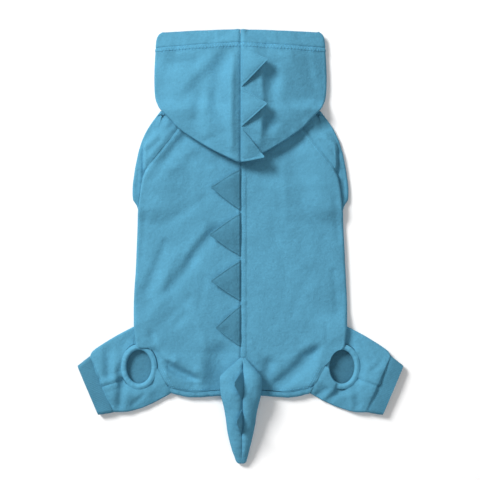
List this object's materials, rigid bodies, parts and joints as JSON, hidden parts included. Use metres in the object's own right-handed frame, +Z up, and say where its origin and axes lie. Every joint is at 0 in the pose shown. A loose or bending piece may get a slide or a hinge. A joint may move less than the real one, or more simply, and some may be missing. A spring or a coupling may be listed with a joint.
{
  "type": "dinosaur dog costume",
  "caption": "Hooded fleece dog suit lying flat on its belly, with soft back spikes, tucked sleeves, hind legs with rib cuffs and a stuffed tail.",
  "frame": {"origin": "on the floor under the middle of the whole garment", "axes": "+Y from the tail to the face opening, +X to the garment's right as seen from above, +Z up"},
  "size_m": [0.4058, 0.5396, 0.047],
  "materials": {
    "fleece": "brushed light blue fleece",
    "spike_fleece": "brushed light blue fleece, a little deeper",
    "rib_knit": "fine rib knit in the same blue",
    "binding": "folded strip of fleece, lighter on its edge"
  },
  "bodies": {
    "root": {"back_left": "fleece", "back_right": "fleece", "belly": "fleece", "seat_band": "fleece", "hood_left": "fleece", "hood_right": "fleece", "sleeve_right": "fleece", "sleeve_left": "fleece", "leg_front_right": "fleece", "leg_front_left": "fleece", "leg_rear_right": "fleece", "leg_rear_left": "fleece", "tail_left": "fleece", "tail_right": "fleece", "cuff_right": "rib_knit", "cuff_left": "rib_knit", "thigh_rim_right": "binding", "thigh_rim_left": "binding", "spike_hood_1": "spike_fleece", "spike_hood_2": "spike_fleece", "spike_hood_3": "spike_fleece", "spike_back_1": "spike_fleece", "spike_back_2": "spike_fleece", "spike_back_3": "spike_fleece", "spike_back_4": "spike_fleece", "spike_tail_1": "spike_fleece", "spike_tail_2": "spike_fleece"}
  },
  "joints": []
}
